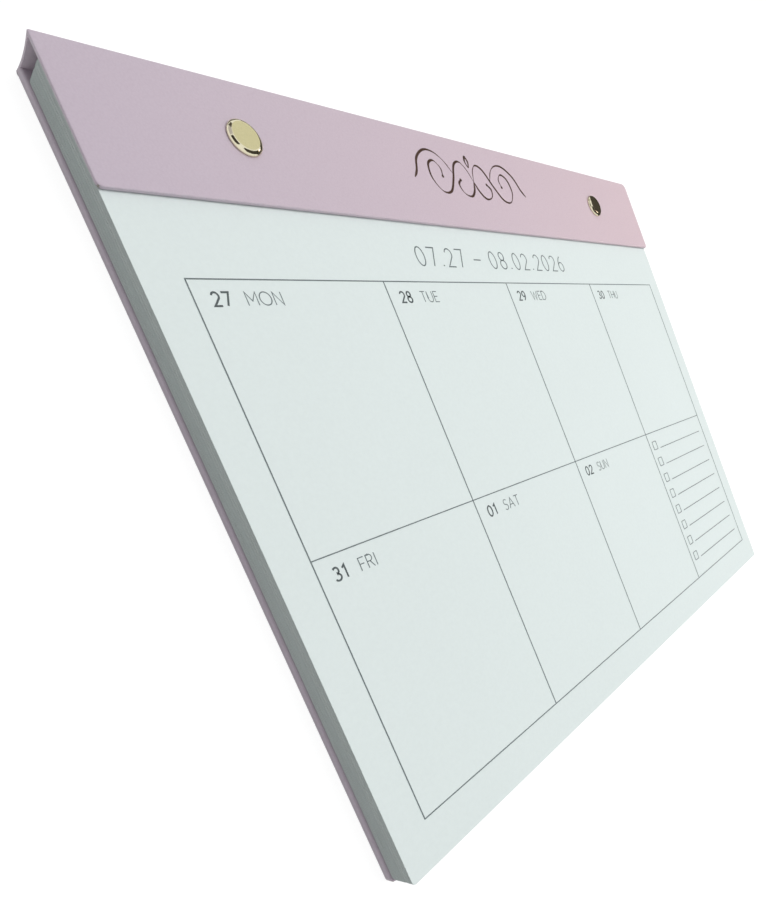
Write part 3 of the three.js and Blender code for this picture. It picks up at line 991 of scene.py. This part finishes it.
# The right half's strokes, as shares of half the ornament's width, and those that end in a dot
FLOURISH = (
    ((0, -0.03), (0.06, 0.11), (0.15, 0.18), (0.26, 0.13), (0.36, -0.04), (0.48, -0.19), (0.62, -0.2),
     (0.72, -0.07), (0.7, 0.08), (0.6, 0.13), (0.52, 0.06), (0.53, -0.03)),
    ((0.33, 0.02), (0.42, 0.15), (0.55, 0.23), (0.7, 0.23), (0.85, 0.13), (0.93, -0.02), (1, -0.1)),
    ((0, -0.03), (0.05, -0.14), (0.14, -0.21), (0.25, -0.18), (0.29, -0.09), (0.235, -0.035)),
    ((0, 0.27), (0.028, 0.2), (0, 0.13)),
)
CURLS = (FLOURISH[0], FLOURISH[2])
CURVE_STEPS = 12
NIB_ANGLE = 40
DOT_SHARE = 0.62
FOIL_LEVEL = 0.005 * MM
FOIL_THICKNESS = 0.03 * MM
ORNAMENT_PLACE = Vector((3 * MM, (BAND_FOOT + CASE_HIGH.y) / 2 + 1.5 * MM))


class PAD_OT_ornament(bpy.types.Operator):
    """Stamps the scroll ornament in foil on the headband"""
    bl_idname = "pad.ornament"
    bl_label = "Ornament"

    def execute(self, context):
        given = context.scene.pad_ornament
        half = given.width / 2
        level = BAND_TOP + FOIL_LEVEL
        work = bmesh.new()
        for stroke in FLOURISH:
            path = smooth_path(stroke, CURVE_STEPS)
            for mirror in (1, -1):
                placed = [ORNAMENT_PLACE + Vector((mirror * x * half, y * half)) for x, y in path]
                ribbon(work, placed, nib_widths(placed, given.stroke, mirror * NIB_ANGLE), level)
                if stroke in CURLS:
                    dot(work, placed[-1], DOT_SHARE * given.stroke, level)
        piece = thin_layer("headband_ornament", work, FOIL_THICKNESS)
        finish_piece(piece, stamped_foil(given.foil_colour), "leatherette")
        return {"FINISHED"}


# The posts

# Three shares of the cap's radius, and one of its height
FLAT_SHARE = 0.79
BARREL_SHARE = 0.5
BORE_SHARE = 0.38
LIP_SHARE = 0.27
SHOULDER_LEAN = math.radians(62)
SHOULDER_STEPS = 14
BORE_TOP = -1.5 * MM


def post_object(side, segments):
    """A post: its cap's flat top, rounded shoulder and rim, and the hollow barrel below."""
    low, high = POST_BOXES[side]
    centre = (low + high) / 2
    rim = (high.x - low.x) / 2
    seat = BAND_TOP
    top = high.z - seat
    flat = FLAT_SHARE * rim
    lip = LIP_SHARE * top
    shoulder = []
    for step in range(SHOULDER_STEPS):
        angle = SHOULDER_LEAN * step / SHOULDER_STEPS
        out = (math.cos(angle) - math.cos(SHOULDER_LEAN)) / (1 - math.cos(SHOULDER_LEAN))
        rise = math.sin(angle) / math.sin(SHOULDER_LEAN)
        shoulder.append((flat + (rim - flat) * out, lip + (top - lip) * rise))
    barrel = BARREL_SHARE * rim
    bore = BORE_SHARE * rim
    foot = low.z - seat
    profile = [
        (0, BORE_TOP), (bore, BORE_TOP), (bore, foot), (barrel, foot), (barrel, 0),
        (rim - 0.3 * MM, 0), (rim - 0.03 * MM, 0.14 * MM), *shoulder,
        (flat + 0.03 * MM, top - 0.03 * MM), (flat - 0.04 * MM, top), (flat - 0.12 * MM, top),
        (flat - 0.2 * MM, top), (0, top),
    ]
    piece = lathe(f"post_cap_{side}", profile, segments, Vector((centre.x, centre.y, seat)))
    smooth_by_angle(piece, 24)
    return piece


class PAD_OT_posts(bpy.types.Operator):
    """Turns the two posts and finishes their screws"""
    bl_idname = "pad.posts"
    bl_label = "Posts"

    def execute(self, context):
        given = context.scene.pad_posts
        brass = post_brass(given.metal_colour)
        for side in SIDES:
            piece = post_object(side, given.segments)
            finish_piece(piece, brass, "post_brass", f"post_{side}")
            set_material(NODES[f"screw_{side}"], brass)
        return {"FINISHED"}


# The stage

CAMERA_PLACE = Vector((-208.7, -28.65, 140.55)) * MM
CAMERA_AIM = Vector((-92.25, -46.1, 11.8)) * MM
CAMERA_ROLL = math.radians(73.39)
CAMERA_LENS = 23.32
CAMERA_SHIFT = (-0.0659, 0.1586)

# Light and surroundings: the way that the room is brightest, the tints, and the level of the cards above
BRIGHT_WAY = (("X", 0.7), ("Y", 0.6))
ROOM_TINT = (0.98, 1, 1.01)
WARM_TINT = (1, 0.82, 0.7)
# The cards' dark colour and glows are painted reflections on the post caps.
CARD_COLOUR = (0.12, 0.105, 0.09)
OLIVE_GLOW = (0.72, 0.715, 0.55)
TAUPE_GLOW = (0.52, 0.5, 0.56)
CARD_LEVEL = 0.6


def place_camera():
    """The camera: above the pad's left side, turned so that the headband runs across the picture's top."""
    data = bpy.data.cameras.new("Camera")
    data.sensor_width = 36
    data.lens = CAMERA_LENS
    data.shift_x, data.shift_y = CAMERA_SHIFT
    data.clip_start = 0.005
    data.clip_end = 20
    camera = new_object("Camera", data)
    towards = (CAMERA_AIM - CAMERA_PLACE).normalized()
    upright = towards.to_track_quat("-Z", "Y").to_matrix().to_4x4()
    camera.matrix_world = Matrix.Translation(CAMERA_PLACE) @ upright @ Matrix.Rotation(CAMERA_ROLL, 4, "Z")
    bpy.context.scene.camera = camera


def seen_rays(tree):
    """One for rays from the camera and for those in gloss and glass, and nought for the rest."""
    path = node(tree, "ShaderNodeLightPath").outputs
    seen = calc(tree, "MAXIMUM", path["Is Camera Ray"], path["Is Glossy Ray"])
    return calc(tree, "MAXIMUM", seen, path["Is Transmission Ray"])


def build_floor(colour, lift, seen_shade):
    """A large pale floor under the pad. Only where it is seen is it lifted to white, around the shadow."""
    work = bmesh.new()
    bmesh.ops.create_grid(work, x_segments=1, y_segments=1, size=4)
    floor = object_from("floor", work)
    floor.data.transform(Matrix.Translation((0, 0, CASE_LOW.z - 0.01 * MM)))
    made, tree, shader = new_material("Floor", 0.9)
    seen = seen_rays(tree)
    fill(tree, shader, {
        "Base Color": mix(tree, "MIX", seen, colour, [seen_shade] * 3),
        "Specular IOR Level": 0,
        "Emission Color": (1, 1, 1, 1),
        "Emission Strength": calc(tree, "MULTIPLY", seen, lift),
    })
    floor.data.materials.append(made)


def build_world(strength):
    """Soft light from all round, dimmer from the left and the front. The camera sees it plain white."""
    world = bpy.data.worlds.new("Room")
    bpy.context.scene.world = world
    world.use_nodes = True
    tree = world.node_tree
    tree.nodes.clear()
    way = split(tree, take(tree, "ShaderNodeTexCoord", output="Generated"))
    across, onward = (calc(tree, "MULTIPLY", way[axis], weight) for axis, weight in BRIGHT_WAY)
    fall = take(tree, "ShaderNodeMapRange", {
        "Value": calc(tree, "ADD", across, onward), "From Min": -1,
        "To Min": 0.6 * strength, "To Max": 1.4 * strength})
    dim = take(tree, "ShaderNodeBackground", {"Color": (*ROOM_TINT, 1), "Strength": fall})
    white = take(tree, "ShaderNodeBackground", {"Color": (1, 1, 1, 1)})
    shown = take(tree, "ShaderNodeMixShader", {0: seen_rays(tree), 1: dim, 2: white})
    node(tree, "ShaderNodeOutputWorld", {"Surface": shown})


def add_lamp(name, place, aim, size, power, colour=(1, 1, 1), shown=True):
    """A soft square lamp, which the metal mirrors only where it is shown."""
    data = bpy.data.lights.new(name, "AREA")
    data.shape = "SQUARE"
    data.size = size
    data.energy = power
    data.color = colour
    lamp = new_object(name, data)
    lamp.visible_glossy = shown
    lamp.location = place
    lamp.rotation_euler = (Vector(aim) - Vector(place)).to_track_quat("-Z", "Y").to_euler()


def add_card(name, corners, glow=(0, 0, 0)):
    """A dark card, or one with a faint glow, that only shows in the metal as a painted reflection and casts
    no shadow. Corners of two numbers are at one level.
    """
    work = bmesh.new()
    work.faces.new([work.verts.new((*corner, CARD_LEVEL)[:3]) for corner in corners])
    card = object_from(name, work)
    made, tree, shader = new_material(name, 0.9)
    fill(tree, shader, {
        "Base Color": (*CARD_COLOUR, 1),
        "Specular IOR Level": 0,
        "Emission Color": (*glow, 1),
        "Emission Strength": 1,
    })
    card.data.materials.append(made)
    for ray in ("camera", "diffuse", "transmission", "volume_scatter", "shadow"):
        setattr(card, f"visible_{ray}", False)


def add_cards():
    """Cards that paint dark and pale reflections of the surroundings on the post caps."""
    add_card("card_right", [(0.5, y, z) for y, z in (
        (-0.2, 0.02), (0.6, 0.02), (0.6, 0.46), (0.42, 0.47), (0.34, 0.36), (0.24, 0.3), (-0.2, 0.3))])
    add_card("card_corner", ((0.5, 0.45, 0), (-0.25, 0.95, 0), (-0.25, 0.95, 0.17), (0.5, 0.45, 0.17)))
    add_card("card_beam", (
        (0.05, 0.12), (0.15, 0.17), (0.3, 0.21), (0.46, 0.25), (0.62, 0.32), (0.82, 0.2),
        (1.3, 0), (1.3, -0.35), (0.9, -0.45), (0.43, -0.48), (-0.05, -0.35), (-0.08, -0.05)))
    add_card("card_top", (
        (0, 0.44), (-0.3, 0.42), (-0.65, 0.48), (-0.6, 0.12), (-0.44, -0.02), (-0.18, 0.08), (0, 0.22)))
    add_card("card_back", ((-0.2, 0.72, 0.22), (0.02, 0.72, 0.24), (0.28, 0.72, 0.6), (0.04, 0.72, 0.64)))
    add_card("card_olive", ((0.34, 0.54), (0.54, 0.54), (0.54, 0.75), (0.34, 0.75)), OLIVE_GLOW)
    add_card("card_taupe", (
        (0.05, 0.49), (-0.3, 0.46), (-0.66, 0.52), (-0.66, 1.3), (-0.1, 1.3), (0.12, 0.75)), TAUPE_GLOW)


class PAD_OT_stage(bpy.types.Operator):
    """Sets the floor, the lamps, the world, the cards and the camera"""
    bl_idname = "pad.stage"
    bl_label = "Stage"

    def execute(self, context):
        given = context.scene.pad_stage
        build_floor(given.floor_colour, given.floor_lift, given.seen_shade)
        build_world(given.room_light)
        add_lamp("Key", (0.26, -0.06, 0.95), (0, 0, 0), 0.7, given.key_power, shown=False)
        add_lamp("Warm", (0.87, 0.24, 0.64), (0.1, 0.05, 0), 0.13, given.warm_power, WARM_TINT)
        add_cards()
        context.scene.view_settings.view_transform = "Standard"
        place_camera()
        return {"FINISHED"}


class PAD_PT_panel(bpy.types.Panel):
    """Lists the pad's pieces in the sidebar"""
    bl_label = "Desk Pad"
    bl_idname = "PAD_PT_panel"
    bl_space_type = "VIEW_3D"
    bl_region_type = "UI"
    bl_category = "Desk Pad"

    def draw(self, context):
        for operator in OPERATORS:
            self.layout.operator(operator.bl_idname)


PROPERTIES = {
    "pad_case": PadCaseProperties,
    "pad_sheets": PadSheetProperties,
    "pad_print": PadPrintProperties,
    "pad_ornament": PadOrnamentProperties,
    "pad_posts": PadPostProperties,
    "pad_stage": PadStageProperties,
}
OPERATORS = (PAD_OT_stage, PAD_OT_case, PAD_OT_sheets, PAD_OT_print, PAD_OT_ornament, PAD_OT_posts)


def register():
    for kind in (*PROPERTIES.values(), *OPERATORS, PAD_PT_panel):
        bpy.utils.register_class(kind)
    for name, kind in PROPERTIES.items():
        setattr(bpy.types.Scene, name, PointerProperty(type=kind))


def unregister():
    for name in PROPERTIES:
        delattr(bpy.types.Scene, name)
    for kind in reversed((*PROPERTIES.values(), *OPERATORS, PAD_PT_panel)):
        bpy.utils.unregister_class(kind)


def main():
    register()
    build_shader_groups()
    bpy.ops.pad.stage()
    bpy.ops.pad.case()
    bpy.ops.pad.sheets()
    bpy.ops.pad.print()
    bpy.ops.pad.ornament()
    bpy.ops.pad.posts()


if __name__ == "__main__":
    main()
